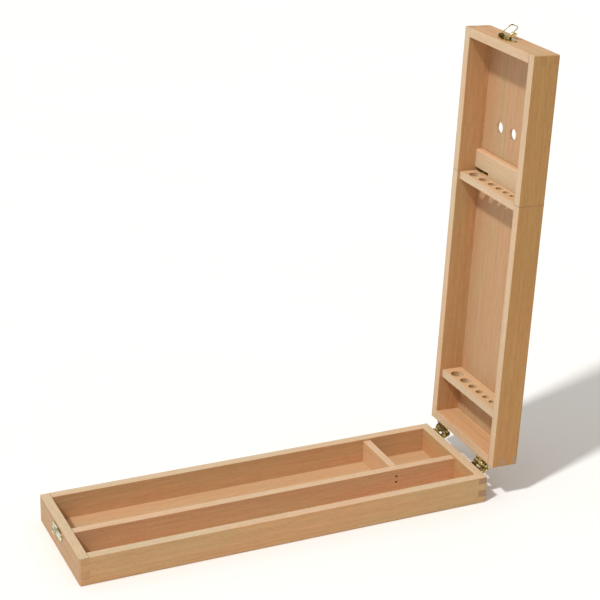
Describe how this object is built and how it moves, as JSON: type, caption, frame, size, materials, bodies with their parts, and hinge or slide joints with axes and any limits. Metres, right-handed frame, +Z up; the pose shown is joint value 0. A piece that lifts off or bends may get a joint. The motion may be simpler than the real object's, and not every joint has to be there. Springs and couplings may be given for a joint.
{
  "type": "art supply box",
  "caption": "Long beech brush box standing open: a divided tray and a hinged lid with brush racks, a fold-back cap, air holes and a brass bail catch.",
  "frame": {"origin": "centre of the base's underside", "axes": "+X from the catch end to the hinge end, +Y across the box to the side of the wide compartments, +Z up"},
  "size_m": [0.4499, 0.124, 0.4468],
  "materials": {
    "beech": "satin",
    "light_beech": "satin",
    "plywood": "matte",
    "brass": "polished",
    "steel": "dull"
  },
  "bodies": {
    "base": {"base_catch_end_wall": "beech", "base_far_wall": "beech", "base_floor_panel": "plywood", "base_hinge_end_wall": "beech", "base_hinge_screw_1": "brass", "base_hinge_screw_2": "brass", "base_hinge_screw_3": "brass", "base_hinge_screw_4": "brass", "base_near_wall": "beech", "cross_divider": "light_beech", "divider_nail_1": "steel", "divider_nail_2": "steel", "far_hinge_base_leaf": "brass", "far_hinge_pin": "brass", "long_divider": "light_beech", "near_hinge_base_leaf": "brass", "near_hinge_pin": "brass", "strike_plate": "brass", "strike_screw_1": "brass", "strike_screw_2": "brass"},
    "lid": {"far_cap_hinge_pin": "brass", "far_cap_hinge_rack_leaf": "brass", "far_hinge_lid_leaf": "brass", "lid_back_panel": "plywood", "lid_far_wall": "beech", "lid_hinge_end_wall": "beech", "lid_hinge_screw_1": "brass", "lid_hinge_screw_2": "brass", "lid_hinge_screw_3": "brass", "lid_hinge_screw_4": "brass", "lid_near_wall": "beech", "lower_brush_rack": "light_beech", "near_cap_hinge_pin": "brass", "near_cap_hinge_rack_leaf": "brass", "near_hinge_lid_leaf": "brass", "rack_hinge_screw_1": "brass", "rack_hinge_screw_2": "brass", "rack_hinge_screw_3": "brass", "rack_hinge_screw_4": "brass", "upper_brush_rack": "light_beech"},
    "cap": {"block_hinge_screw_1": "brass", "block_hinge_screw_2": "brass", "block_hinge_screw_3": "brass", "block_hinge_screw_4": "brass", "cap_back_panel": "plywood", "cap_end_wall": "beech", "cap_far_wall": "beech", "cap_hinge_block": "light_beech", "cap_near_wall": "beech", "catch_lever_pin": "brass", "catch_plate": "brass", "catch_screw_1": "brass", "catch_screw_2": "brass", "far_cap_hinge_block_leaf": "brass", "near_cap_hinge_block_leaf": "brass"},
    "lever": {"catch_lever": "brass"},
    "bail": {"catch_bail": "brass"}
  },
  "joints": [
    {"name": "lid_hinge", "type": "hinge", "parent": "base", "child": "lid", "pos_m": [0.206, 0, 0.02895], "axis": [0, 1, 0], "range_deg": [-92, 0]},
    {"name": "cap_hinge", "type": "hinge", "parent": "lid", "child": "cap", "pos_m": [0.24292, 0, 0.29668], "axis": [0, 1, 0], "range_deg": [0, 180]},
    {"name": "catch_lever", "type": "hinge", "parent": "cap", "child": "lever", "pos_m": [0.22832, 0.0035, 0.43752], "axis": [0, -1, 0], "range_deg": [0, 110]},
    {"name": "catch_bail", "type": "hinge", "parent": "cap", "child": "bail", "pos_m": [0.2253, 0.0035, 0.43702], "axis": [0, 1, 0], "range_deg": [-139, 27]}
  ]
}
